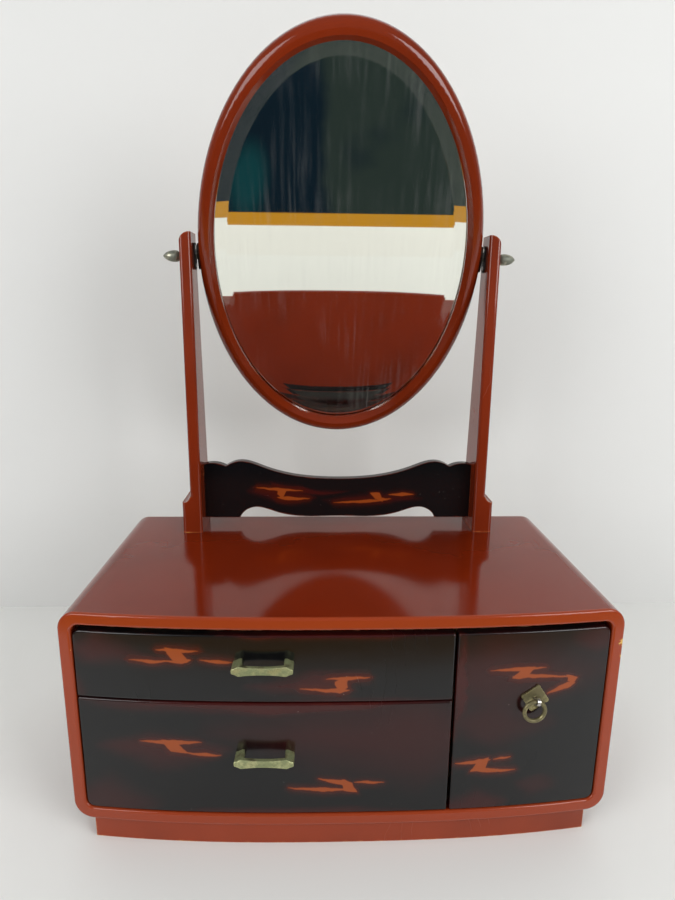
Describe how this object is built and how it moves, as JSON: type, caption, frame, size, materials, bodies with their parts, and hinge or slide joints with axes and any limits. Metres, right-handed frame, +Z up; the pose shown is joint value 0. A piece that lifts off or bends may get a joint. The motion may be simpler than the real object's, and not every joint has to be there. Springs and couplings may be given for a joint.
{
  "type": "tabletop vanity",
  "caption": "Bow-fronted lacquered box of drawers on a plinth, carrying an oval swing mirror between posts joined by a scalloped stretcher.",
  "frame": {"origin": "table level, in the middle of the width, on the line through the case's two front corners", "axes": "+Z up, +X to the right of someone facing the front, -Y towards them"},
  "size_m": [0.43, 0.2915, 0.6383],
  "materials": {
    "case_lacquer": "glossy red-orange lacquer, worn at the edges",
    "plinth_lacquer": "red-orange lacquer, scuffed",
    "front_lacquer": "black and maroon lacquer with orange cloud patches, edges rubbed red",
    "stand_lacquer": "dark red lacquer",
    "frame_lacquer": "dark red lacquer, rounded and glossy",
    "inner_wood": "plain softwood, unfinished",
    "thin_board": "thin board, unfinished",
    "aged_brass": "dull greenish brass, grainy",
    "dark_bronze": "dark grey-green bronze",
    "steel": "plain steel screws and brads",
    "mirror_glass": "silvered, bevelled glass"
  },
  "bodies": {
    "base": {"case_top": "case_lacquer", "case_bottom": "case_lacquer", "case_side_left": "case_lacquer", "case_side_right": "case_lacquer", "plinth_front": "plinth_lacquer", "plinth_side_left": "plinth_lacquer", "plinth_side_right": "plinth_lacquer", "plinth_back": "inner_wood", "partition": "inner_wood", "divider": "inner_wood", "back_panel": "thin_board", "stretcher": "front_lacquer", "post_left": "stand_lacquer", "post_right": "stand_lacquer", "post_plate_left": "dark_bronze", "post_plate_right": "dark_bronze", "post_plate_screws": "steel", "stand_screws": "steel"},
    "upper_drawer": {"upper_drawer_front": "front_lacquer", "upper_drawer_floor": "thin_board", "upper_drawer_side_left": "inner_wood", "upper_drawer_side_right": "inner_wood", "upper_drawer_back": "inner_wood", "upper_drawer_pull": "aged_brass", "upper_drawer_pull_screws": "steel"},
    "lower_drawer": {"lower_drawer_front": "front_lacquer", "lower_drawer_floor": "thin_board", "lower_drawer_side_left": "inner_wood", "lower_drawer_side_right": "inner_wood", "lower_drawer_back": "inner_wood", "lower_drawer_pull": "aged_brass", "lower_drawer_pull_screws": "steel"},
    "deep_drawer": {"deep_drawer_front": "front_lacquer", "deep_drawer_floor": "thin_board", "deep_drawer_side_left": "inner_wood", "deep_drawer_side_right": "inner_wood", "deep_drawer_back": "inner_wood", "ring_plate": "aged_brass", "ring_staple": "steel"},
    "pull_ring": {"pull_ring": "aged_brass"},
    "mirror": {"mirror_frame": "frame_lacquer", "mirror_glass": "mirror_glass", "mirror_back": "thin_board", "back_brads": "steel", "frame_plate_left": "dark_bronze", "frame_plate_right": "dark_bronze", "frame_plate_screws": "steel"},
    "pivot_screw_left": {"pivot_screw_left": "dark_bronze", "washer_left": "dark_bronze"},
    "pivot_screw_right": {"pivot_screw_right": "dark_bronze", "washer_right": "dark_bronze"}
  },
  "joints": [
    {"name": "upper_drawer_slide", "type": "slide", "parent": "base", "child": "upper_drawer", "axis": [0, -1, 0], "range_m": [0, 0.15]},
    {"name": "lower_drawer_slide", "type": "slide", "parent": "base", "child": "lower_drawer", "axis": [0, -1, 0], "range_m": [0, 0.15]},
    {"name": "deep_drawer_slide", "type": "slide", "parent": "base", "child": "deep_drawer", "axis": [0, -1, 0], "range_m": [0, 0.15]},
    {"name": "pull_ring_swing", "type": "hinge", "parent": "deep_drawer", "child": "pull_ring", "pos_m": [0.14729, -0.01277, 0.13], "axis": [-0.9746, -0.0831, 0.2079], "range_deg": [-13, 193]},
    {"name": "mirror_tilt", "type": "hinge", "parent": "base", "child": "mirror", "pos_m": [0, 0.18, 0.466], "axis": [1, 0, 0], "continuous": true},
    {"name": "pivot_screw_left_turn", "type": "hinge", "parent": "base", "child": "pivot_screw_left", "pos_m": [-0.1465, 0.18, 0.466], "axis": [1, 0, 0], "continuous": true},
    {"name": "pivot_screw_right_turn", "type": "hinge", "parent": "base", "child": "pivot_screw_right", "pos_m": [0.1465, 0.18, 0.466], "axis": [1, 0, 0], "continuous": true}
  ]
}
